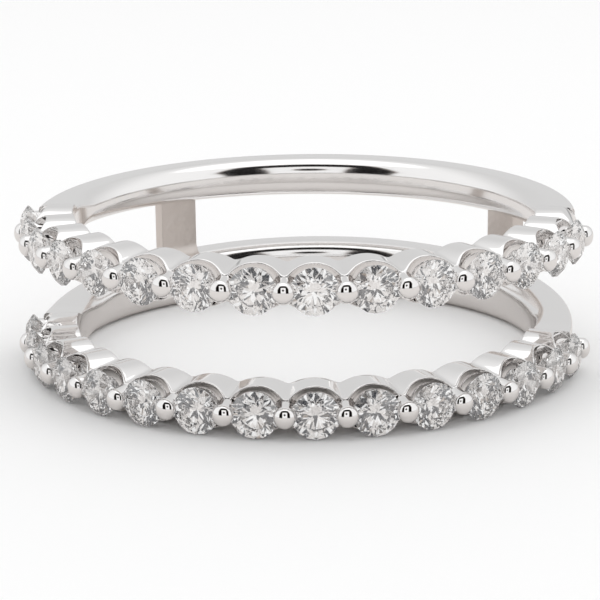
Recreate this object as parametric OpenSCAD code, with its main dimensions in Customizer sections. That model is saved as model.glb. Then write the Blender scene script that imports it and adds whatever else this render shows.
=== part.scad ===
// Ring guard: two bands of round stones in scalloped settings, joined by posts at the back,
// with an open gap between them that takes the shank of a solitaire ring.
// The ring lies on its side: the finger axis is Z, the base is Z = 0, and the rows face -Y.

/* [Finger hole] */
// Diameter of the finger hole
finger_d = 16.7; // [15:0.1:21]

/* [Bands] */
// Distance between the middle planes of the two stone rows
row_gap = 4.09; // [3.6:0.01:6]
// Radial thickness of the plain shank
shank_wall = 1.4; // [1.1:0.05:2]
// Half height of the upper shank where it meets its stone row
upper_end_half = 0.59; // [0.5:0.01:0.75]
// Half height of the upper shank at the back of the ring
upper_back_half = 0.76; // [0.6:0.01:1]
// Height of the lower shank's top above its row plane, where it meets the stones
lower_end_top = 0.62; // [0.5:0.01:0.8]
// Height of the lower shank's top above its row plane, at the back of the ring
lower_back_top = 1.38; // [0.8:0.01:1.6]
// Clearance of the lower row's stones above the surface that the ring lies on
base_clear = 0.03; // [0.02:0.01:0.2]

/* [Stones] */
// Number of stones in each row
row_stones = 15; // [9:1:16]
// Diameter of a stone
stone_d = 1.58; // [1.3:0.01:1.8]
// Free distance between neighbouring stones in a row
stone_space = 0.39; // [0.3:0.01:0.6]
// Distance of the girdles from the finger hole's wall
girdle_depth = 1.65; // [1.6:0.01:2]
// Thickness of a girdle
girdle_h = 0.04; // [0.02:0.01:0.08]
// Width of the table as a share of the stone's diameter
table_share = 0.57; // [0.5:0.01:0.65]
// Slope of the crown's main facets in degrees
crown_angle = 34.5; // [30:0.5:38]
// Slope of the pavilion's main facets in degrees
pavilion_angle = 40.8; // [38:0.2:42]

/* [Setting] */
// Half height of a setting's fluted barrel
barrel_half = 0.8; // [0.7:0.01:0.95]
// Radius of a barrel's arched side
arch_r = 1.5; // [1.2:0.05:2]
// Plain barrels without a stone that end the upper row on the right
plain_barrels = 1; // [0:1:2]
// How far the face of the stone row stands beyond the shank's outer wall
face_proud = 0.1; // [0.05:0.01:0.2]
// How much wider than its stone a bowl is, on each side
bowl_margin = 0.16; // [0.1:0.01:0.2]
// How far inside the girdle plane the centre of a bowl lies
bowl_inset = 0.08; // [0:0.01:0.15]
// Diameter of the beads that hold the stones
bead_d = 0.74; // [0.6:0.01:0.8]
// Height of a bead's shoulder above the girdle plane
bead_lift = 0.2; // [0.1:0.01:0.24]
// Height of a bead's domed top
bead_dome = 0.26; // [0.12:0.01:0.3]
// Clearance between a stone and its seat in the beads
seat_gap = 0.02; // [0.01:0.005:0.04]

/* [Posts] */
// Width of a post along the band
post_w = 1.6; // [1:0.1:2.4]
// Distance of the posts from the finger hole's wall
post_inset = 0.55; // [0.3:0.05:0.8]
// Depth of a post away from the finger hole
post_depth = 0.55; // [0.4:0.05:0.8]
// Angle of the left post's middle from the front of the ring, in degrees
left_post_angle = 136; // [125:1:150]
// Angle of the right post's middle from the front of the ring, in degrees
right_post_angle = 131; // [125:1:150]

/* [Hidden] */
$fn = 72;
finger_r = finger_d / 2;
shank_r = finger_r + shank_wall;
face_r = shank_r + face_proud;
girdle_r = finger_r + girdle_depth;
stone_r = stone_d / 2;
bead_r = bead_d / 2;
bowl_r = stone_r + bowl_margin;
// Angle between neighbouring stones, seen from the finger axis
pitch = 2 * asin((stone_d + stone_space) / 2 / girdle_r);
// Angle of the rows' left end, with the stones centred on the front of the ring
row_start = -row_stones * pitch / 2;
// The ring rests on its lower barrels and shank, with the stones clear of the surface
lower_z = max(stone_r + base_clear, barrel_half);
upper_z = lower_z + row_gap;
// Overlap of solids that are cast in one piece, and their allowance inside the finger hole
weld = 0.3;
// Barrels run this far past the crease between two of them
barrel_overlap = 0.12;
barrel_half_w = girdle_r * sin(pitch / 2) + barrel_overlap;
// Length of the bar that shapes an arch, well past the wall on both sides
arch_bar = 4 * (face_r - finger_r);
// Facets round a stone, and the reach of its star and lower girdle facets
facets = 8;
facet_step = 360 / facets;
star_share = 0.5;
lower_facet_share = 0.77;
// Radii and heights of the rings of corners on a stone, from its girdle's middle plane
girdle_half = girdle_h / 2;
table_r = stone_r * table_share;
table_z = girdle_half + main_facet_h(table_r, 0, crown_angle);
star_r = table_r * cos(facet_step / 2) * (1 - star_share) + star_share * stone_r;
star_z = girdle_half + main_facet_h(star_r, facet_step / 2, crown_angle);
junction_r = stone_r * (1 - lower_facet_share);
junction_z = -girdle_half - main_facet_h(junction_r, facet_step / 2, pavilion_angle);
culet_z = -girdle_half - main_facet_h(0, 0, pavilion_angle);

// Angle of stone i from the front of the ring; half steps are the beads between stones
function row_angle(i) = row_start + (i - 0.5) * pitch;

// Turns +X towards the given angle from the front, which is -Y
module at_row_angle(angle) { rotate([0, 0, angle - 90]) children(); }

// Plain part of a band behind its barrels, between two sloping faces seen from the side
module shank(barrels, end_top, back_top, end_bottom, back_bottom) {
    half_h = max(end_top, back_top, -end_bottom, -back_bottom);
    sweep = 360 - barrels * pitch;
    intersection() {
        at_row_angle(row_angle(barrels + 0.5) + sweep / 2)
            sector(finger_r - weld, shank_r, half_h + weld, sweep);
        rotate([90, 0, 90])
            linear_extrude(height = 2 * face_r, center = true)
                polygon([
                    [-face_r, end_bottom], [0, end_bottom], [face_r, back_bottom],
                    [face_r, back_top], [0, end_top], [-face_r, end_top]
                ]);
    }
}

// Sector of a round wall between two radii, centred on +X
module sector(inner_r, outer_r, half_h, angle) {
    rotate([0, 0, -angle / 2]) rotate_extrude(angle = angle)
        translate([inner_r, -half_h]) square([outer_r - inner_r, 2 * half_h]);
}

// Upper arched side of one barrel, as a round bar that points outwards
module arch() {
    translate([face_r, 0, barrel_half - arch_r]) rotate([0, 90, 0])
        cylinder(r = arch_r, h = arch_bar, center = true);
}

// One barrel of the setting, arched above and below
module barrel() {
    intersection() {
        arch();
        mirror([0, 0, 1]) arch();
        translate([finger_r - weld, -barrel_half_w, -arch_r])
            cube([face_r - finger_r + 2 * weld, 2 * barrel_half_w, 2 * arch_r]);
    }
}

// Round-topped bead that stands on the wall between two bowls
module bead() {
    shoulder = girdle_r + bead_lift;
    dome_r = (bead_r * bead_r + bead_dome * bead_dome) / (2 * bead_dome);
    translate([shoulder, 0, 0]) rotate([0, 90, 0]) rotate_extrude() intersection() {
        translate([0, bead_dome - dome_r]) circle(r = dome_r);
        translate([0, -bead_d]) square([bead_r, 2 * bead_d]);
    }
}

// Space that one stone needs between its two beads, with its clearance, as a flat-sided notch
module seat() {
    g = seat_gap;
    side = [
        [table_z + g, table_r + g], [star_z + g, star_r + g], [girdle_half + g, stone_r + g],
        [-girdle_half - g, stone_r + g], [junction_z - g, junction_r + g]
    ];
    other_side = [for (i = [len(side) - 1 : -1 : 0]) [side[i][0], -side[i][1]]];
    translate([girdle_r, 0, 0])
        linear_extrude(height = bead_d + 2 * g, center = true) polygon(concat(side, other_side));
}

// Barrels, bowls and beads of one row, whose first barrels hold the stones
module stone_row(barrels) {
    difference() {
        union() {
            difference() {
                intersection() {
                    union() for (i = [1 : barrels]) at_row_angle(row_angle(i)) barrel();
                    cylinder(r = face_r, h = 2 * arch_r, center = true);
                }
                for (i = [1 : row_stones]) at_row_angle(row_angle(i))
                    translate([girdle_r - bowl_inset, 0, 0]) sphere(r = bowl_r);
            }
            for (i = [0 : row_stones]) at_row_angle(row_angle(i + 0.5)) bead();
        }
        for (i = [1 : row_stones]) at_row_angle(row_angle(i)) seat();
    }
}

// Post that joins the two shanks behind the stones
module post(angle) {
    low = lower_z + lower_end_top - weld;
    high = upper_z - upper_end_half + weld;
    at_row_angle(angle) translate([finger_r + post_inset, -post_w / 2, low])
        cube([post_depth, post_w, high - low]);
}

// One band: a stone row in front and a plain shank behind it
module band(barrels, end_top, back_top, end_bottom, back_bottom) {
    stone_row(barrels);
    shank(barrels, end_top, back_top, end_bottom, back_bottom);
}

// Both bands with their settings, beads and posts in one piece, bored for the finger
module guard_metal() {
    color("gainsboro") difference() {
        union() {
            translate([0, 0, lower_z])
                band(row_stones, lower_end_top, lower_back_top, -lower_z, -lower_z);
            translate([0, 0, upper_z]) band(
                row_stones + plain_barrels,
                upper_end_half, upper_back_half, -upper_end_half, -upper_back_half
            );
            post(-left_post_angle);
            post(right_post_angle);
        }
        translate([0, 0, -weld]) cylinder(r = finger_r, h = upper_z + arch_r + weld);
    }
}

function circle_points(r, z, count, phase) =
    [for (i = [0 : count - 1]) [r * cos(phase + 360 * i / count), r * sin(phase + 360 * i / count), z]];

// Height of a main facet above the girdle's edge, at a radius and an angle from its middle
function main_facet_h(r, angle, slope) = (stone_r - r * cos(angle)) * tan(slope);

// Round brilliant with its table up and its girdle on Z = 0
module brilliant() {
    n = facets;
    points = concat(
        circle_points(table_r, table_z, n, 0),
        circle_points(star_r, star_z, n, facet_step / 2),
        circle_points(stone_r, girdle_half, 2 * n, 0),
        circle_points(stone_r, -girdle_half, 2 * n, 0),
        circle_points(junction_r, junction_z, n, facet_step / 2),
        [[0, 0, culet_z]]
    );
    star = n;
    top = 2 * n;
    low = 4 * n;
    junction = 6 * n;
    culet = 7 * n;
    faces = concat(
        [[for (i = [n - 1 : -1 : 0]) i]],
        [for (i = [0 : n - 1]) [i, (i + 1) % n, star + i]],
        [for (i = [0 : n - 1]) [i, star + i, top + 2 * i]],
        [for (i = [0 : n - 1]) [i, top + 2 * i, star + (i + n - 1) % n]],
        [for (i = [0 : n - 1]) [star + i, top + 2 * i + 1, top + 2 * i]],
        [for (i = [0 : n - 1]) [star + i, top + (2 * i + 2) % (2 * n), top + 2 * i + 1]],
        [for (i = [0 : 2 * n - 1]) [top + i, top + (i + 1) % (2 * n), low + (i + 1) % (2 * n), low + i]],
        [for (i = [0 : n - 1]) [low + 2 * i, low + 2 * i + 1, junction + i]],
        [for (i = [0 : n - 1]) [low + 2 * i + 1, low + (2 * i + 2) % (2 * n), junction + i]],
        [for (i = [0 : n - 1]) [low + 2 * i, junction + i, culet]],
        [for (i = [0 : n - 1]) [low + 2 * i, culet, junction + (i + n - 1) % n]]
    );
    polyhedron(points, faces, convexity = 2);
}

module stone_at(z, i) {
    color("aliceblue") translate([0, 0, z]) at_row_angle(row_angle(i))
        translate([girdle_r, 0, 0]) rotate([0, 90, 0]) brilliant();
}

module upper_stone(i) { stone_at(upper_z, i); }
module lower_stone(i) { stone_at(lower_z, i); }

guard_metal();
for (i = [1 : row_stones]) upper_stone(i);
for (i = [1 : row_stones]) lower_stone(i);
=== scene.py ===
"""Ring guard in white gold with two rows of diamonds, dressed and lit as in a jeweller's studio."""

import logging
import math
from dataclasses import dataclass
from enum import Enum
from typing import Any, Callable

import bmesh
import bpy
from mathutils import Matrix, Vector


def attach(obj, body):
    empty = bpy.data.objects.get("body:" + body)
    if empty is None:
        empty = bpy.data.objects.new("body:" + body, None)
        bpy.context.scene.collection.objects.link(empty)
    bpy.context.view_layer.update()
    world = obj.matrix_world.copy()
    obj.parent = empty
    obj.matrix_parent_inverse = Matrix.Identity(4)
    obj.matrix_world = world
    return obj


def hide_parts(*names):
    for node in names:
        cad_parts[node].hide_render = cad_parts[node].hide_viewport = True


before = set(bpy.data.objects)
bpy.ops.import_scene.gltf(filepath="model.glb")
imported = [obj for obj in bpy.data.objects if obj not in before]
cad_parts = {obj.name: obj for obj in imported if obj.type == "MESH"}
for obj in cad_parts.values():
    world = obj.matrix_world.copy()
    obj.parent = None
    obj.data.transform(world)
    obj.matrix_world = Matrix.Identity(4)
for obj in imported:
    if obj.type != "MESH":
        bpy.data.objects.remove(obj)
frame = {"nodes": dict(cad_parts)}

logging.basicConfig(level=logging.INFO, format="%(message)s")
log = logging.getLogger("ring guard")

# Sizes of the ring are in millimetres until a piece is finished, which brings it to metres
MM = 0.001
BODY = "root"
QUARTER_TURN = math.pi / 2
SHARP_TURN = math.radians(40)
# Points nearer to each other than this are one point, and nearer to a cutting plane lie in it
SAME_PLACE = 0.0005
CUT_SLACK = 0.0002
TINY = 1e-9
Profile = list[tuple[float, float]]
Curve = Callable[[float], tuple[float, float]]
Colour = tuple[float, float, float, float]


@dataclass(frozen=True)
class GuardSizes:
    """Sizes that all pieces share, in millimetres and radians, as the frame was built with them."""

    finger_r: float = 8.35
    shank_r: float = 9.75
    face_r: float = 9.85
    girdle_r: float = 10.0
    stone_r: float = 0.79
    stone_space: float = 0.39
    lower_z: float = 0.82
    upper_z: float = 4.91
    row_stones: int = 15
    plain_barrels: int = 1
    left_post: float = math.radians(-136)
    right_post: float = math.radians(131)

    @property
    def pitch(self) -> float:
        """Angle between neighbouring stones, seen from the finger axis."""
        return 2 * math.asin((self.stone_r + self.stone_space / 2) / self.girdle_r)

    @property
    def row_start(self) -> float:
        """Angle of the rows' left end from the front of the ring."""
        return -self.row_stones * self.pitch / 2

    def stone_angle(self, index: float) -> float:
        """Angle of a stone from the front; half steps are the beads between stones."""
        return self.row_start + (index - 0.5) * self.pitch


def turned(angle: float) -> Matrix:
    """Turn about the finger axis that takes +X to an angle from the front, which is -Y."""
    return Matrix.Rotation(angle - QUARTER_TURN, 3, "Z")


def halved(inside: Callable[[float], bool], low: float, high: float, times: int) -> float:
    """Finds where a test turns from true to false, by halving the stretch between two values.

    Args:
        inside: Test that holds at the lower value and fails at the higher one.
        low: Lower value.
        high: Higher value.
        times: How often the stretch is halved.

    Returns:
        The last value found at which the test holds.
    """
    for _ in range(times):
        middle = (low + high) / 2
        low, high = (middle, high) if inside(middle) else (low, middle)
    return low


def open_line(bm: bmesh.types.BMesh, points: list[tuple[float, float, float]]) -> list[Any]:
    """Lays a line of vertices and edges for a spin.

    Args:
        bm: Mesh that takes the line.
        points: Places of the vertices in order.

    Returns:
        The vertices and edges, ready for bmesh.ops.spin.
    """
    verts = [bm.verts.new(p) for p in points]
    edges = [bm.edges.new(pair) for pair in zip(verts, verts[1:])]
    return [*verts, *edges]


def repeat_round(bm: bmesh.types.BMesh, first: float, step: float, count: int) -> None:
    """Turns a mesh made along +X to its first place and repeats it round the finger axis.

    Args:
        bm: Mesh of one unit.
        first: Angle of the first unit from the front.
        step: Angle between units.
        count: Number of units.
    """
    bmesh.ops.rotate(bm, verts=bm.verts, cent=(0, 0, 0), matrix=turned(first))
    geom = [*bm.verts, *bm.edges, *bm.faces]
    if count > 1:
        bmesh.ops.spin(
            bm, geom=geom, cent=(0, 0, 0), axis=(0, 0, 1), dvec=(0, 0, 0),
            angle=step * (count - 1), steps=count - 1, use_duplicate=True,
        )


def take_in(target: bmesh.types.BMesh, source: bmesh.types.BMesh) -> None:
    """Adds one mesh to another and frees it.

    Args:
        target: Mesh that grows.
        source: Mesh that is added and freed.
    """
    mesh = bpy.data.meshes.new("part")
    source.to_mesh(mesh)
    source.free()
    target.from_mesh(mesh)
    bpy.data.meshes.remove(mesh)


def put_in_order(bm: bmesh.types.BMesh) -> None:
    """Sorts the points and faces of a mesh by their places, so that each run gives the same mesh.

    Args:
        bm: Mesh that is sorted.
    """
    points = sorted(bm.verts, key=lambda vert: vert.co[:])
    faces = sorted(bm.faces, key=lambda face: face.calc_center_median()[:])
    for rank, element in [*enumerate(points), *enumerate(faces)]:
        element.index = rank
    bm.verts.sort()
    bm.faces.sort()


def finish_piece(bm: bmesh.types.BMesh, name: str, material: bpy.types.Material) -> bpy.types.Object:
    """Makes an object of a mesh in millimetres and lets it ride on the ring.

    Args:
        bm: Finished mesh, which is freed.
        name: Name of the piece.
        material: Its material.

    Returns:
        The piece, at the origin, in metres.
    """
    bmesh.ops.scale(bm, vec=(MM, MM, MM), verts=bm.verts)
    put_in_order(bm)
    mesh = bpy.data.meshes.new(name)
    bm.to_mesh(mesh)
    bm.free()
    mesh.shade_smooth()
    mesh.set_sharp_from_angle(angle=SHARP_TURN)
    mesh.materials.append(material)
    piece = bpy.data.objects.new(name, mesh)
    bpy.context.scene.collection.objects.link(piece)
    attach(piece, BODY)
    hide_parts("guard_metal")
    log.info("%s: %d faces", name, len(mesh.polygons))
    return piece


@dataclass
class SettingUnit:
    """One barrel of a row with its bowl, from crease to crease, in millimetres along +X.

    A line of stations is spun about the stone's axis, and each station then takes its place
    on the bowl, the domed face, the arched side or the finger hole's wall.
    """

    sizes: GuardSizes
    has_bowl: bool = True
    half: float = 0.8
    hole_arch_r: float = 1.58
    face_arch_r: float = 1.21
    valley: float = 0.12
    face_dome: float = 0.87
    bowl_r: float = 0.95
    bowl_x: float = 9.92
    rim_round: float = 0.05
    side_round: float = 0.1
    hole_round: float = 0.06
    widest: float = 1.3
    face_depth: float = 0.3
    first_theta: float = 0.3
    theta_step: float = 0.02
    arch_halvings: int = 22
    rim_halvings: int = 20
    round_share: float = 0.45
    spokes: int = 96
    bowl_steps: int = 13
    round_steps: int = 4
    face_steps: int = 3
    side_steps: int = 7
    wall_steps: int = 3

    def side_height(self, y: float, radius: float) -> float:
        """Height of the arched side, which ends in a soft valley at the crease.

        Args:
            y: Distance from the barrel's middle along the row.
            radius: Distance from the finger axis.

        Returns:
            Height above the row's middle plane.
        """
        outward = (radius - self.sizes.finger_r) / (self.sizes.face_r - self.sizes.finger_r)
        arch_r = self.hole_arch_r + outward * (self.face_arch_r - self.hole_arch_r)
        crease = radius * math.tan(self.sizes.pitch / 2)
        y = min(abs(y), crease)
        arc = min(y, crease - self.valley)
        soft = y - arc
        chord = math.sqrt(arch_r**2 - arc**2)
        return self.half - (arch_r - chord) - arc / chord * (soft - soft**2 / (2 * self.valley))

    def arch_reach(self, radius: float, c: float, s: float) -> float:
        """Measures how far a spoke runs until it meets the arched side.

        Args:
            radius: Distance from the finger axis.
            c: Cosine of the spoke's angle about the stone's axis.
            s: Sine of that angle.

        Returns:
            Distance from the stone's axis.
        """

        def inside(reach: float) -> bool:
            """Whether a point of the spoke is still under the side."""
            return reach * s < self.side_height(reach * c, radius)

        return self.widest if inside(self.widest) else halved(inside, 0.0, self.widest, self.arch_halvings)

    def face_radius(self, z: float) -> float:
        """Distance of the domed face from the finger axis at a height."""
        return self.sizes.face_r - self.face_dome * z * z

    def bowl_point(self, theta: float, c: float) -> tuple[float, float]:
        """Places a point on the bowl.

        Args:
            theta: Angle from the bottom of the bowl, at its centre.
            c: Cosine of the spoke's angle about the stone's axis.

        Returns:
            Distances from the finger axis and from the stone's axis.
        """
        reach = self.bowl_r * math.sin(theta)
        x = self.bowl_x - self.bowl_r * math.cos(theta)
        return math.hypot(x, reach * c), reach

    def rim_angle(self, c: float, s: float) -> float:
        """Finds where the bowl breaks through the side or the face.

        Args:
            c: Cosine of the spoke's angle about the stone's axis.
            s: Sine of that angle.

        Returns:
            Angle from the bottom of the bowl, at its centre.
        """

        def inside(theta: float) -> bool:
            """Whether a point of the bowl is still within the metal."""
            radius, reach = self.bowl_point(theta, c)
            return radius < self.face_radius(reach * s) and reach < self.arch_reach(radius, c, s)

        theta = self.first_theta
        while inside(theta + self.theta_step):
            theta += self.theta_step
        return halved(inside, theta, theta + self.theta_step, self.rim_halvings)

    def stations(self, angle: float) -> Profile:
        """Places of all stations on one spoke.

        Args:
            angle: Angle of the spoke about the stone's axis.

        Returns:
            Pairs of distances from the finger axis and from the stone's axis.
        """
        c, s = abs(math.cos(angle)), abs(math.sin(angle))
        hole = self.sizes.finger_r
        end = self.rim_angle(c, s) if self.has_bowl else 0.0
        rim_reach = self.bowl_point(end, c)[1] if self.has_bowl else 0.0
        face_end = max(rim_reach, self.arch_reach(self.sizes.face_r - self.face_depth, c, s))
        side_top = self.face_radius(face_end * s)

        def bowl(u: float) -> tuple[float, float]:
            """Point of the bowl at a share of its length."""
            return self.bowl_point(u * end, c)

        def face_line(u: float) -> tuple[float, float]:
            """Point of the domed face at a share of its length."""
            reach = rim_reach + u * (face_end - rim_reach)
            return self.face_radius(reach * s), reach

        def side(u: float) -> tuple[float, float]:
            """Point of the arched side at a share of its length."""
            radius = side_top + u * (hole - side_top)
            return radius, self.arch_reach(radius, c, s)

        def wall(u: float) -> tuple[float, float]:
            """Point of the finger hole's wall at a share of its length."""
            return hole, self.arch_reach(hole, c, s) * (1 - u)

        pieces = [
            (face_line, face_end - rim_reach, self.face_steps),
            (side, side_top - hole, self.side_steps),
            (wall, self.arch_reach(hole, c, s), self.wall_steps),
        ]
        rounds = [self.side_round, self.hole_round]
        if self.has_bowl:
            pieces.insert(0, (bowl, self.bowl_r * end, self.bowl_steps))
            rounds.insert(0, self.rim_round)
        return self.rounded(pieces, rounds)

    def rounded(self, pieces: list[tuple[Curve, float, int]], rounds: list[float]) -> Profile:
        """Runs along the pieces of a spoke and rounds the corners between them.

        Args:
            pieces: Curve, length and number of steps of each piece.
            rounds: How far from each corner its rounding starts.

        Returns:
            The stations' places.
        """
        out: Profile = []
        start = 0.0
        for k, (curve, length, steps) in enumerate(pieces):
            cut = min(rounds[k], self.round_share * length) if k < len(rounds) else 0.0
            first = start / length if length > TINY else 0.0
            last = 1 - cut / length if length > TINY else 1.0
            out += [curve(first + (last - first) * i / steps) for i in range(steps + 1)]
            if k == len(rounds):
                break
            following, after, _ = pieces[k + 1]
            start = min(rounds[k], self.round_share * after)
            a, corner = curve(last), curve(1.0)
            b = following(start / after if after > TINY else 0.0)
            for i in range(1, self.round_steps):
                t = i / self.round_steps
                p, q, r = (1 - t) ** 2, 2 * t * (1 - t), t * t
                out.append((p * a[0] + q * corner[0] + r * b[0], p * a[1] + q * corner[1] + r * b[1]))
        return out

    def build(self) -> bmesh.types.BMesh:
        """Makes the unit's mesh.

        Returns:
            The mesh, open at its two crease planes.
        """
        bm = bmesh.new()
        count = len(self.stations(0.0))
        line = open_line(bm, [(i, 1.0, 0.0) for i in range(count)])
        bmesh.ops.spin(
            bm, geom=line, cent=(0, 0, 0), axis=(1, 0, 0), dvec=(0, 0, 0),
            angle=2 * math.pi, steps=self.spokes, use_merge=True,
        )
        spokes: dict[int, Profile] = {}
        for vert in bm.verts:
            angle = math.atan2(vert.co.z, vert.co.y)
            key = round(angle / math.tau * self.spokes)
            if key not in spokes:
                spokes[key] = self.stations(key * math.tau / self.spokes)
            radius, reach = spokes[key][round(vert.co.x)]
            y, z = reach * math.cos(angle), reach * math.sin(angle)
            vert.co = (math.sqrt(radius**2 - y**2), y, z)
        bmesh.ops.remove_doubles(bm, verts=bm.verts, dist=SAME_PLACE)
        half = self.sizes.pitch / 2
        for side in (1, -1):
            bmesh.ops.bisect_plane(
                bm, geom=[*bm.verts, *bm.edges, *bm.faces], dist=CUT_SLACK, plane_co=(0, 0, 0),
                plane_no=(-math.sin(half), side * math.cos(half), 0), clear_outer=True,
            )
        put_in_order(bm)
        return bm


@dataclass
class Bead:
    """Round-topped bead that stands between two bowls and is notched for both stones, along +X."""

    sizes: GuardSizes
    radius: float = 0.37
    foot_x: float = 9.3
    shoulder_x: float = 10.19
    top_x: float = 10.46
    flare: float = 0.05
    flare_x: float = 9.62
    clearance: float = 0.015
    girdle_half: float = 0.02
    crown_slope: float = 0.687
    pavilion_slope: float = 0.863
    stem_steps: int = 14
    arc_steps: int = 10
    spokes: int = 40

    def free_width(self, x: float, z: float) -> float:
        """Measures the room that the stones on both sides leave for the bead.

        Args:
            x: Distance from the finger axis.
            z: Height above the row's middle plane.

        Returns:
            Half the free width.
        """
        rise = max(abs(x - self.sizes.girdle_r) - self.girdle_half, 0.0)
        slope = self.crown_slope if x > self.sizes.girdle_r else self.pavilion_slope
        stone = self.sizes.stone_r + self.clearance - rise / slope
        middle = self.sizes.stone_r + self.sizes.stone_space / 2
        return middle - math.sqrt(max(stone**2 - z**2, 0.0)) if stone > 0 else middle

    def side_line(self) -> list[tuple[float, float, float]]:
        """Draws the line from the middle of the foot up the stem and over the dome.

        Returns:
            Points of the line in order.
        """
        dome = self.top_x - self.shoulder_x
        points = [(self.foot_x, 0.0, 0.0)]
        for i in range(self.stem_steps):
            x = self.foot_x + (self.shoulder_x - self.foot_x) * (i / self.stem_steps) ** 0.5
            t = min(max((x - self.flare_x) / (self.shoulder_x - self.flare_x), 0.0), 1.0)
            points.append((x, self.radius + self.flare * (1 - t) ** 2, 0.0))
        for i in range(self.arc_steps + 1):
            t = i / self.arc_steps * math.pi / 2
            points.append((self.shoulder_x + dome * math.sin(t), self.radius * math.cos(t), 0.0))
        return points

    def build(self) -> bmesh.types.BMesh:
        """Makes the bead's mesh from its side line, spun about its axis.

        Returns:
            The closed mesh.
        """
        bm = bmesh.new()
        line = open_line(bm, self.side_line())
        bmesh.ops.spin(
            bm, geom=line, cent=(0, 0, 0), axis=(1, 0, 0), dvec=(0, 0, 0),
            angle=2 * math.pi, steps=self.spokes, use_merge=True,
        )
        bmesh.ops.remove_doubles(bm, verts=bm.verts, dist=SAME_PLACE)
        for vert in bm.verts:
            free = self.free_width(vert.co.x, vert.co.z)
            vert.co.y = max(min(vert.co.y, free), -free)
        return bm


@dataclass
class StoneRow:
    """The settings and beads of one row of stones, with the plain barrels that end it."""

    sizes: GuardSizes
    name: str
    z: float
    plain_barrels: int = 0

    def build(self, material: bpy.types.Material) -> bpy.types.Object:
        """Makes the row's metal.

        Args:
            material: Finish of the metal.

        Returns:
            The piece.
        """
        stones = self.sizes.row_stones
        row = SettingUnit(self.sizes).build()
        repeat_round(row, self.sizes.stone_angle(1), self.sizes.pitch, stones)
        if self.plain_barrels:
            plain = SettingUnit(self.sizes, has_bowl=False).build()
            repeat_round(plain, self.sizes.stone_angle(stones + 1), self.sizes.pitch, self.plain_barrels)
            take_in(row, plain)
        bmesh.ops.remove_doubles(row, verts=row.verts, dist=SAME_PLACE)
        ends = [e for e in row.edges if e.is_boundary]
        bmesh.ops.holes_fill(row, edges=ends, sides=0)
        beads = Bead(self.sizes).build()
        repeat_round(beads, self.sizes.stone_angle(0.5), self.sizes.pitch, stones + 1)
        take_in(row, beads)
        bmesh.ops.recalc_face_normals(row, faces=row.faces)
        bmesh.ops.translate(row, verts=row.verts, vec=(0, 0, self.z))
        return finish_piece(row, self.name, material)


@dataclass
class Shank:
    """The plain part of a band behind its barrels, with a comfort fit and a height that grows backwards."""

    sizes: GuardSizes
    name: str
    z: float
    barrels: int
    end_top: float
    back_top: float
    end_bottom: float
    back_bottom: float
    comfort: float = 0.6
    end_comfort: float = 0.14
    comfort_from_y: float = -1.0
    comfort_run: float = 3.0
    widest_share: float = 0.47
    corner: float = 0.14
    comfort_steps: int = 14
    corner_steps: int = 6
    lap: float = 0.1
    steps: int = 180

    def height(self, y: float, end: float, back: float) -> float:
        """Height of a side face, which slopes from the middle of the ring to its back."""
        return end + (back - end) * max(y, 0.0) / self.sizes.face_r

    def outline(self, y: float) -> Profile:
        """Outline of the cross-section at a distance behind the middle of the ring.

        Args:
            y: Distance behind the middle of the ring.

        Returns:
            Pairs of a distance from the finger axis and a height.
        """
        top = self.height(y, self.end_top, self.back_top)
        bottom = self.height(y, self.end_bottom, self.back_bottom)
        inner, outer, r = self.sizes.finger_r, self.sizes.shank_r, self.corner
        share = min(max((y - self.comfort_from_y) / self.comfort_run, 0.0), 1.0)
        soft = self.end_comfort + (self.comfort - self.end_comfort) * share * share * (3 - 2 * share)
        soft = min(soft, self.widest_share * (top - bottom))
        corners = [
            (outer - r, top - r, r, 0, self.corner_steps),
            (inner + soft, top - soft, soft, 90, self.comfort_steps),
            (inner + soft, bottom + soft, soft, 180, self.comfort_steps),
            (outer - r, bottom + r, r, 270, self.corner_steps),
        ]
        points: Profile = []
        for x, z, radius, start, steps in corners:
            for i in range(steps + 1):
                t = math.radians(start + 90 * i / steps)
                points.append((x + radius * math.cos(t), z + radius * math.sin(t)))
        return points

    def build(self, material: bpy.types.Material) -> bpy.types.Object:
        """Makes the shank by a spin whose vertices then take their places on the outline.

        The section that is spun only numbers its corners by their distance from the finger axis,
        and its heights keep them off one line.

        Args:
            material: Finish of the metal.

        Returns:
            The piece.
        """
        lap = self.lap / self.sizes.girdle_r
        start = self.sizes.stone_angle(self.barrels + 0.5) - lap
        sweep = math.tau - self.barrels * self.sizes.pitch + 2 * lap
        count = len(self.outline(0.0))
        bm = bmesh.new()
        verts = [bm.verts.new((1.0 + i, 0.0, 0.3 * (i % 5 - 2))) for i in range(count)]
        bmesh.ops.rotate(bm, verts=verts, cent=(0, 0, 0), matrix=turned(start))
        section = bm.faces.new(verts)
        bmesh.ops.spin(
            bm, geom=[section], cent=(0, 0, 0), axis=(0, 0, 1), dvec=(0, 0, 0),
            angle=sweep, steps=self.steps,
        )
        for vert in bm.verts:
            reach = math.hypot(vert.co.x, vert.co.y)
            back = vert.co.y / reach
            radius, z = self.outline(back * self.sizes.girdle_r)[round(reach - 1.0)]
            vert.co = (vert.co.x / reach * radius, vert.co.y / reach * radius, z)
        bmesh.ops.recalc_face_normals(bm, faces=bm.faces)
        bmesh.ops.translate(bm, verts=bm.verts, vec=(0, 0, self.z))
        return finish_piece(bm, self.name, material)


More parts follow.
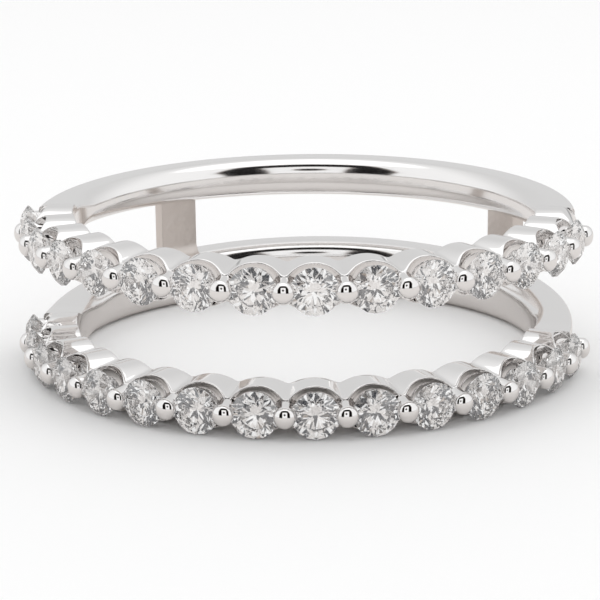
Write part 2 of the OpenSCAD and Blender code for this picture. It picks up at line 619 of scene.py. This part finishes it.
@dataclass
class Post:
    """Post that joins the two shanks behind the stones, with a soft foot on the lower one."""

    sizes: GuardSizes
    name: str
    angle: float
    width: float = 1.6
    inset: float = 0.55
    depth: float = 0.55
    low: float = 1.6
    high: float = 4.5
    foot_z: float = 1.9
    foot_r: float = 0.55
    edge: float = 0.05
    edge_steps: int = 4
    foot_cuts: int = 79
    least_rise: float = 0.5

    def uprights(self, bm: bmesh.types.BMesh) -> list[bmesh.types.BMEdge]:
        """Edges that run up the post."""
        return [e for e in bm.edges if abs(e.verts[0].co.z - e.verts[1].co.z) > self.least_rise]

    def build(self, material: bpy.types.Material) -> bpy.types.Object:
        """Makes the post from a cube.

        Args:
            material: Finish of the metal.

        Returns:
            The piece.
        """
        bm = bmesh.new()
        bmesh.ops.create_cube(bm, size=1.0)
        front = self.sizes.finger_r + self.inset
        for vert in bm.verts:
            vert.co = (
                front if vert.co.x < 0 else front + self.depth,
                vert.co.y * self.width,
                self.low if vert.co.z < 0 else self.high,
            )
        bmesh.ops.bevel(
            bm, geom=self.uprights(bm), offset=self.edge, segments=self.edge_steps, profile=0.5,
            affect="EDGES", material=-1,
        )
        bmesh.ops.subdivide_edges(bm, edges=self.uprights(bm), cuts=self.foot_cuts, use_grid_fill=True)
        for vert in bm.verts:
            gap = max(vert.co.z - self.foot_z, 0.0)
            if gap < self.foot_r and vert.co.x < front + self.depth / 2:
                vert.co.x -= self.foot_r - math.sqrt(self.foot_r**2 - (self.foot_r - gap) ** 2)
        bmesh.ops.rotate(bm, verts=bm.verts, cent=(0, 0, 0), matrix=turned(self.angle))
        bmesh.ops.recalc_face_normals(bm, faces=bm.faces)
        return finish_piece(bm, self.name, material)


def new_material(name: str) -> tuple[bpy.types.Material, bpy.types.Node]:
    """Makes a node material.

    Args:
        name: Name of the material.

    Returns:
        The material and its Principled BSDF node.
    """
    material = bpy.data.materials.new(name)
    material.use_nodes = True
    return material, material.node_tree.nodes["Principled BSDF"]


@dataclass(frozen=True)
class PolishMarks:
    """Marks of hand-polished metal: soft waves and fine wheel marks."""

    wave_detail: float = 1.0
    wave_height: float = 0.0001
    mark_scale: float = 2500.0
    mark_detail: float = 3.0

    def build(self) -> bpy.types.ShaderNodeTree:
        """Makes the node group that all gold shares.

        Returns:
            Group with Wave Scale, Wave Depth, Gloss and Haze in, and Roughness and Normal out.
        """
        tree = bpy.data.node_groups.new("polish_marks", "ShaderNodeTree")
        for label in ("Wave Scale", "Wave Depth", "Gloss", "Haze"):
            tree.interface.new_socket(name=label, in_out="INPUT", socket_type="NodeSocketFloat")
        tree.interface.new_socket(name="Roughness", in_out="OUTPUT", socket_type="NodeSocketFloat")
        tree.interface.new_socket(name="Normal", in_out="OUTPUT", socket_type="NodeSocketVector")
        nodes, links = tree.nodes, tree.links
        inputs, outputs = nodes.new("NodeGroupInput"), nodes.new("NodeGroupOutput")
        coords = nodes.new("ShaderNodeTexCoord")
        waves = nodes.new("ShaderNodeTexNoise")
        waves.inputs["Detail"].default_value = self.wave_detail
        links.new(coords.outputs["Object"], waves.inputs["Vector"])
        links.new(inputs.outputs["Wave Scale"], waves.inputs["Scale"])
        bump = nodes.new("ShaderNodeBump")
        bump.inputs["Distance"].default_value = self.wave_height
        links.new(inputs.outputs["Wave Depth"], bump.inputs["Strength"])
        links.new(waves.outputs["Fac"], bump.inputs["Height"])
        marks = nodes.new("ShaderNodeTexNoise")
        marks.inputs["Scale"].default_value = self.mark_scale
        marks.inputs["Detail"].default_value = self.mark_detail
        links.new(coords.outputs["Object"], marks.inputs["Vector"])
        haze = nodes.new("ShaderNodeMath")
        haze.operation = "MULTIPLY_ADD"
        links.new(marks.outputs["Fac"], haze.inputs[0])
        links.new(inputs.outputs["Haze"], haze.inputs[1])
        links.new(inputs.outputs["Gloss"], haze.inputs[2])
        links.new(haze.outputs[0], outputs.inputs["Roughness"])
        links.new(bump.outputs["Normal"], outputs.inputs["Normal"])
        return tree


@dataclass(frozen=True)
class PolishedGold:
    """Mirror-polished, rhodium-plated white gold."""

    name: str = "polished_white_gold"
    colour: Colour = (0.88, 0.87, 0.865, 1.0)
    wave_scale: float = 900.0
    wave_depth: float = 0.02
    gloss: float = 0.03
    haze: float = 0.02

    def build(self, polish: bpy.types.ShaderNodeTree) -> bpy.types.Material:
        """Makes the material.

        Args:
            polish: Node group of polish marks.

        Returns:
            The material.
        """
        material, shader = new_material(self.name)
        shader.inputs["Base Color"].default_value = self.colour
        shader.inputs["Metallic"].default_value = 1.0
        group = material.node_tree.nodes.new("ShaderNodeGroup")
        group.node_tree = polish
        group.inputs["Wave Scale"].default_value = self.wave_scale
        group.inputs["Wave Depth"].default_value = self.wave_depth
        group.inputs["Gloss"].default_value = self.gloss
        group.inputs["Haze"].default_value = self.haze
        links = material.node_tree.links
        links.new(group.outputs["Roughness"], shader.inputs["Roughness"])
        links.new(group.outputs["Normal"], shader.inputs["Normal"])
        return material


class Finish(Enum):
    """Finishes of the gold: the rows' mirror polish, the softer shanks and the rougher posts, whose darker,
    browner colour is painted shade.
    """

    MIRROR = PolishedGold()
    SOFT = PolishedGold("soft_white_gold", gloss=0.1, haze=0.04)
    # Painted shade: the posts' darker, browner colour stands in for the shade at the back of the ring
    # between the two bands; their higher roughness is their own finish.
    ROUGH_SHADED = PolishedGold(
        "rough_shaded_white_gold", colour=(0.68, 0.63, 0.595, 1.0),
        wave_scale=2600.0, wave_depth=0.35, gloss=0.3, haze=0.1,
    )


@dataclass(frozen=True)
class Diamond:
    """Clear diamond with polished facets."""

    name: str = "clear_diamond"
    ior: float = 2.42

    def build(self) -> bpy.types.Material:
        """Makes the material.

        Returns:
            The material.
        """
        material, shader = new_material(self.name)
        shader.inputs["Base Color"].default_value = (1.0, 1.0, 1.0, 1.0)
        shader.inputs["Roughness"].default_value = 0.0
        shader.inputs["IOR"].default_value = self.ior
        shader.inputs["Transmission Weight"].default_value = 1.0
        return material


@dataclass(frozen=True)
class PaleSweep:
    """Matt white paper under the ring, with painted shade: where the metal mirrors it, it takes a darker,
    warmer colour for the shade on the paper near the ring.
    """

    name: str = "pale_sweep"
    paper: Colour = (0.95, 0.95, 0.95, 1.0)
    mirrored_shade: Colour = (0.78, 0.75, 0.73, 1.0)
    roughness: float = 0.8
    grain_scale: float = 1800.0
    grain_detail: float = 3.0
    grain_strength: float = 0.15
    grain_depth: float = 0.00005

    def build(self) -> bpy.types.Material:
        """Makes the material.

        Returns:
            The material.
        """
        material, shader = new_material(self.name)
        shader.inputs["Roughness"].default_value = self.roughness
        nodes, links = material.node_tree.nodes, material.node_tree.links
        # Painted shade: rays that the metal mirrors see the paper in a darker colour than the camera does.
        path = nodes.new("ShaderNodeLightPath")
        mix = nodes.new("ShaderNodeMix")
        mix.data_type = "RGBA"
        mix.inputs["A"].default_value = self.paper
        mix.inputs["B"].default_value = self.mirrored_shade
        links.new(path.outputs["Is Glossy Ray"], mix.inputs["Factor"])
        links.new(mix.outputs["Result"], shader.inputs["Base Color"])
        coords = nodes.new("ShaderNodeTexCoord")
        grain = nodes.new("ShaderNodeTexNoise")
        grain.inputs["Scale"].default_value = self.grain_scale
        grain.inputs["Detail"].default_value = self.grain_detail
        links.new(coords.outputs["Object"], grain.inputs["Vector"])
        bump = nodes.new("ShaderNodeBump")
        bump.inputs["Strength"].default_value = self.grain_strength
        bump.inputs["Distance"].default_value = self.grain_depth
        links.new(grain.outputs["Fac"], bump.inputs["Height"])
        links.new(bump.outputs["Normal"], shader.inputs["Normal"])
        return material


@dataclass
class Camera:
    """The camera of the photograph, found from the places of the stones and beads in it."""

    distance: float = 70.14
    elevation: float = 14.144
    bearing: float = 9.53
    pitch: float = -0.677
    yaw: float = -0.158
    roll: float = -0.614
    focal_px: float = 1913.2
    frame_px: float = 600.0
    sensor_mm: float = 36.0
    nearest: float = 0.005
    farthest: float = 20.0
    target_z: float = 2.865

    def build(self) -> bpy.types.Object:
        """Makes the camera and sets it as the scene's camera.

        Returns:
            The camera.
        """
        e = math.radians(self.elevation)
        tilt, yaw, roll = math.radians(self.pitch) - e, math.radians(self.yaw), math.radians(self.roll)
        forward = Vector((math.sin(yaw) * math.cos(tilt), math.cos(yaw) * math.cos(tilt), math.sin(tilt)))
        right = forward.cross(Vector((0, 0, 1))).normalized()
        up = right.cross(forward)
        c, s = math.cos(roll), math.sin(roll)
        right, up = c * right + s * up, c * up - s * right
        place = Vector((0, -math.cos(e), math.sin(e))) * self.distance
        turn = Matrix.Rotation(math.radians(self.bearing), 3, "Z")
        axes = Matrix((right, up, -forward)).transposed()
        data = bpy.data.cameras.new("camera")
        data.sensor_width = self.sensor_mm
        data.lens = self.sensor_mm * self.focal_px / self.frame_px
        data.clip_start, data.clip_end = self.nearest, self.farthest
        camera = bpy.data.objects.new("camera", data)
        bpy.context.scene.collection.objects.link(camera)
        camera.matrix_world = (turn @ axes).to_4x4()
        camera.location = (turn @ place + Vector((0, 0, self.target_z))) * MM
        bpy.context.scene.camera = camera
        return camera


@dataclass(frozen=True)
class Maths:
    """Adds Math nodes and masks to one node tree."""

    tree: bpy.types.NodeTree

    def do(self, operation: str, first: Any, second: Any = None) -> bpy.types.NodeSocket:
        """Adds one Math node.

        Args:
            operation: Its operation.
            first: Socket or number for its first input.
            second: Socket or number for its second input, if it has one.

        Returns:
            Socket of the result.
        """
        node = self.tree.nodes.new("ShaderNodeMath")
        node.operation = operation
        for k, value in enumerate((first, second)):
            if isinstance(value, bpy.types.NodeSocket):
                self.tree.links.new(value, node.inputs[k])
            elif value is not None:
                node.inputs[k].default_value = value
        return node.outputs[0]

    def degrees(self, operation: str, first: Any, second: Any = None) -> bpy.types.NodeSocket:
        """Angle in degrees that an inverse trigonometric operation gives."""
        return self.do("DEGREES", self.do(operation, first, second))

    def between(
        self, value: bpy.types.NodeSocket, low: float, high: float, soft: float
    ) -> bpy.types.NodeSocket:
        """Mask that is 1 where a value lies between two limits, with soft edges.

        Args:
            value: Socket of the value.
            low: Lower limit.
            high: Upper limit.
            soft: Width of the soft edges.

        Returns:
            Socket of the mask.
        """
        masks = []
        for limit, below, above in ((low, 0.0, 1.0), (high, 1.0, 0.0)):
            node = self.tree.nodes.new("ShaderNodeMapRange")
            node.interpolation_type = "SMOOTHSTEP"
            node.inputs["From Min"].default_value = limit - soft / 2
            node.inputs["From Max"].default_value = limit + soft / 2
            node.inputs["To Min"].default_value = below
            node.inputs["To Max"].default_value = above
            self.tree.links.new(value, node.inputs["Value"])
            masks.append(node.outputs["Result"])
        return self.do("MULTIPLY", *masks)

    def away(
        self, pair: tuple[bpy.types.NodeSocket, bpy.types.NodeSocket], middle: tuple[float, float]
    ) -> bpy.types.NodeSocket:
        """Distance of a pair of angles from a middle, in degrees."""
        offs = [self.do("SUBTRACT", angle, place) for angle, place in zip(pair, middle)]
        return self.do("SQRT", self.do("ADD", *(self.do("MULTIPLY", off, off) for off in offs)))


@dataclass(frozen=True)
class Directions:
    """Sockets of a ray's direction as angles in degrees, seen from the ring towards the camera."""

    azimuth: bpy.types.NodeSocket
    elevation: bpy.types.NodeSocket
    side: bpy.types.NodeSocket
    up: bpy.types.NodeSocket


@dataclass(frozen=True)
class Shade:
    """Colours of the tent's opening: at its soft edge and inside."""

    edge: tuple[float, float, float]
    inside: tuple[float, float, float]

    def build(self, maths: Maths, mask: bpy.types.NodeSocket) -> bpy.types.NodeSocket:
        """Colours a mask, white outside.

        Args:
            maths: Maths of the node tree.
            mask: Socket of the mask.

        Returns:
            Socket of the colour.
        """
        node = maths.tree.nodes.new("ShaderNodeValToRGB")
        ramp = node.color_ramp.elements
        ramp[0].color = (1.0, 1.0, 1.0, 1.0)
        ramp[1].color = (*self.inside, 1.0)
        ramp.new(0.5).color = (*self.edge, 1.0)
        maths.tree.links.new(mask, node.inputs["Fac"])
        return node.outputs["Color"]


@dataclass
class Studio:
    """White light tent with a dark opening on the camera's side, and a pale paper sweep.

    Angles are in degrees and lengths in metres. The opening is a frame round a bright hole,
    in which the lens shows.
    """

    bearing: float = 9.53
    white: float = 1.0
    opening_side: tuple[float, float] = (-46.0, 41.0)
    opening_top: float = 70.0
    corner_azimuth: tuple[float, float] = (-52.0, 50.0)
    hole_side: tuple[float, float] = (-21.0, 18.0)
    hole_top: float = 49.0
    below: float = -90.0
    lens: tuple[float, float] = (-3.0, 25.0)
    lens_r: float = 8.0
    stone_lens_r: float = 19.0
    soft: float = 2.0
    mirrored_shade: Shade = Shade(edge=(0.3, 0.22, 0.17), inside=(0.004, 0.003, 0.003))
    refracted: Shade = Shade(edge=(0.42, 0.36, 0.31), inside=(0.05, 0.055, 0.065))
    far_shade: float = 0.28
    far_azimuth: float = 125.0
    far_soft: float = 60.0
    far_top: float = 50.0
    far_top_soft: float = 40.0
    horizon_shade: float = 0.3
    horizon: tuple[float, float] = (-2.0, 2.5)
    horizon_soft: float = 1.0
    no_limit: float = 400.0
    floor_half: float = 0.6
    floor_parts: int = 4
    lamp_size: float = 0.16
    lamp_power: float = 0.02
    lamp_place: tuple[float, float, float] = (0.0, 0.02, 0.16)
    all_bounces: int = 20
    clear_bounces: int = 16

    def directions(self, maths: Maths) -> Directions:
        """Works out the angles of a ray's direction.

        Args:
            maths: Maths of the node tree.

        Returns:
            The angles' sockets.
        """
        nodes, links = maths.tree.nodes, maths.tree.links
        coords = nodes.new("ShaderNodeTexCoord")
        turn = nodes.new("ShaderNodeVectorRotate")
        turn.rotation_type = "Z_AXIS"
        turn.inputs["Angle"].default_value = -math.radians(self.bearing)
        links.new(coords.outputs["Generated"], turn.inputs["Vector"])
        axes = nodes.new("ShaderNodeSeparateXYZ")
        links.new(turn.outputs["Vector"], axes.inputs["Vector"])
        x, y, z = (axes.outputs[k] for k in "XYZ")
        front = maths.do("MULTIPLY", y, -1.0)
        return Directions(
            azimuth=maths.degrees("ARCTAN2", x, front),
            elevation=maths.degrees("ARCSINE", z),
            side=maths.degrees("ARCSINE", x),
            up=maths.degrees("ARCTAN2", z, front),
        )

    def patch(
        self, maths: Maths, ray: Directions, sides: tuple[float, float], top: float
    ) -> bpy.types.NodeSocket:
        """Masks a patch of the tent that runs from the floor up to a top.

        Args:
            maths: Maths of the node tree.
            ray: Direction of the ray.
            sides: Limits of the angle to the side.
            top: Upper limit of the angle upwards.

        Returns:
            Socket of the mask.
        """
        across = maths.between(ray.side, *sides, self.soft)
        upwards = maths.between(ray.up, self.below, top, self.soft)
        return maths.do("MULTIPLY", across, upwards)

    def disc(self, maths: Maths, away: bpy.types.NodeSocket, radius: float) -> bpy.types.NodeSocket:
        """Masks a round patch of the tent, from the distance of the ray to its middle."""
        return maths.between(away, -self.no_limit, radius, self.soft)

    def dark_frame(self, maths: Maths, ray: Directions, away: bpy.types.NodeSocket) -> bpy.types.NodeSocket:
        """Masks the opening without its bright hole, but with the lens in it.

        Args:
            maths: Maths of the node tree.
            ray: Direction of the ray.
            away: Distance of the ray from the lens, in degrees.

        Returns:
            Socket of the mask.
        """
        opening = self.patch(maths, ray, self.opening_side, self.opening_top)
        corners = maths.between(ray.azimuth, *self.corner_azimuth, 2 * self.soft)
        hole = self.patch(maths, ray, self.hole_side, self.hole_top)
        lens = self.disc(maths, away, self.lens_r)
        bright_hole = maths.do("MAXIMUM", maths.do("SUBTRACT", hole, lens), 0.0)
        return maths.do("SUBTRACT", maths.do("MULTIPLY", opening, corners), bright_hole)

    def dimming(self, maths: Maths, ray: Directions) -> bpy.types.NodeSocket:
        """Works out how much darker metal mirrors the tent behind the ring and at the horizon.

        Args:
            maths: Maths of the node tree.
            ray: Direction of the ray.

        Returns:
            Socket of the share of light that is missing.
        """
        aside = maths.do("ABSOLUTE", ray.azimuth)
        behind = maths.between(aside, self.far_azimuth, self.no_limit, self.far_soft)
        low = maths.between(ray.elevation, -self.no_limit, self.far_top, self.far_top_soft)
        far = maths.do("MULTIPLY", maths.do("MULTIPLY", behind, low), self.far_shade)
        horizon = maths.between(ray.elevation, *self.horizon, self.horizon_soft)
        return maths.do("ADD", far, maths.do("MULTIPLY", horizon, self.horizon_shade))

    def world(self) -> None:
        """Makes the light tent, whose opening only mirrors and stones see."""
        world = bpy.data.worlds.new("light_tent")
        world.use_nodes = True
        tree = world.node_tree
        maths = Maths(tree)
        ray = self.directions(maths)
        away = maths.away((ray.side, ray.up), self.lens)
        dark = self.dark_frame(maths, ray, away)
        path = tree.nodes.new("ShaderNodeLightPath")
        through = path.outputs["Is Transmission Ray"]
        mirrors = maths.do("MULTIPLY", path.outputs["Is Glossy Ray"], maths.do("SUBTRACT", 1.0, through))
        in_metal = maths.do("MULTIPLY", dark, mirrors)
        wide_lens = self.disc(maths, away, self.stone_lens_r)
        in_stones = maths.do("MULTIPLY", maths.do("MAXIMUM", dark, wide_lens), through)
        mix = tree.nodes.new("ShaderNodeMix")
        mix.data_type = "RGBA"
        tree.links.new(through, mix.inputs["Factor"])
        tree.links.new(self.mirrored_shade.build(maths, in_metal), mix.inputs["A"])
        tree.links.new(self.refracted.build(maths, in_stones), mix.inputs["B"])
        dim = maths.do("MULTIPLY", self.dimming(maths, ray), mirrors)
        background = tree.nodes["Background"]
        tree.links.new(mix.outputs["Result"], background.inputs["Color"])
        tree.links.new(maths.do("SUBTRACT", self.white, dim), background.inputs["Strength"])
        bpy.context.scene.world = world

    def floor(self) -> bpy.types.Object:
        """Lays the paper sweep that the ring lies on.

        Returns:
            The sweep.
        """
        bm = bmesh.new()
        bmesh.ops.create_grid(
            bm, x_segments=self.floor_parts, y_segments=self.floor_parts, size=self.floor_half
        )
        mesh = bpy.data.meshes.new("floor")
        bm.to_mesh(mesh)
        bm.free()
        mesh.materials.append(PaleSweep().build())
        floor = bpy.data.objects.new("floor", mesh)
        bpy.context.scene.collection.objects.link(floor)
        return floor

    def lamp(self) -> bpy.types.Object:
        """Hangs one large soft lamp above the ring.

        Returns:
            The lamp.
        """
        data = bpy.data.lights.new("soft_top", "AREA")
        data.shape = "DISK"
        data.size = self.lamp_size
        data.energy = self.lamp_power
        lamp = bpy.data.objects.new("soft_top", data)
        lamp.location = self.lamp_place
        bpy.context.scene.collection.objects.link(lamp)
        return lamp

    def build(self) -> None:
        """Makes the tent, the sweep and the lamp, and shows colours as they are."""
        self.world()
        self.floor()
        self.lamp()
        scene = bpy.context.scene
        scene.view_settings.view_transform = "Standard"
        scene.cycles.max_bounces = self.all_bounces
        scene.cycles.glossy_bounces = self.clear_bounces
        scene.cycles.transmission_bounces = self.clear_bounces


def dress_stones(nodes: dict[str, bpy.types.Object], material: bpy.types.Material) -> None:
    """Gives every stone of the frame its material.

    Args:
        nodes: The frame's nodes by name.
        material: The stones' material.
    """
    stones = [o for name, o in nodes.items() if "_stone_" in name]
    for stone in stones:
        stone.data.materials.clear()
        stone.data.materials.append(material)
    log.info("stones: %d", len(stones))


def main() -> None:
    """Builds the pieces of the guard and the studio in order."""
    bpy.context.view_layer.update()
    sizes = GuardSizes()
    polish = PolishMarks().build()
    gold = {finish: finish.value.build(polish) for finish in Finish}
    StoneRow(sizes, "upper_row_metal", sizes.upper_z, sizes.plain_barrels).build(gold[Finish.MIRROR])
    StoneRow(sizes, "lower_row_metal", sizes.lower_z).build(gold[Finish.MIRROR])
    Shank(
        sizes, "upper_shank", sizes.upper_z, sizes.row_stones + sizes.plain_barrels,
        end_top=0.59, back_top=0.76, end_bottom=-0.59, back_bottom=-0.76,
    ).build(gold[Finish.SOFT])
    Shank(
        sizes, "lower_shank", sizes.lower_z, sizes.row_stones,
        end_top=0.62, back_top=1.38, end_bottom=-sizes.lower_z, back_bottom=-sizes.lower_z,
    ).build(gold[Finish.SOFT])
    Post(sizes, "left_post", sizes.left_post).build(gold[Finish.ROUGH_SHADED])
    Post(sizes, "right_post", sizes.right_post).build(gold[Finish.ROUGH_SHADED])
    dress_stones(frame["nodes"], Diamond().build())
    Camera().build()
    Studio().build()


if __name__ == "__main__":
    main()
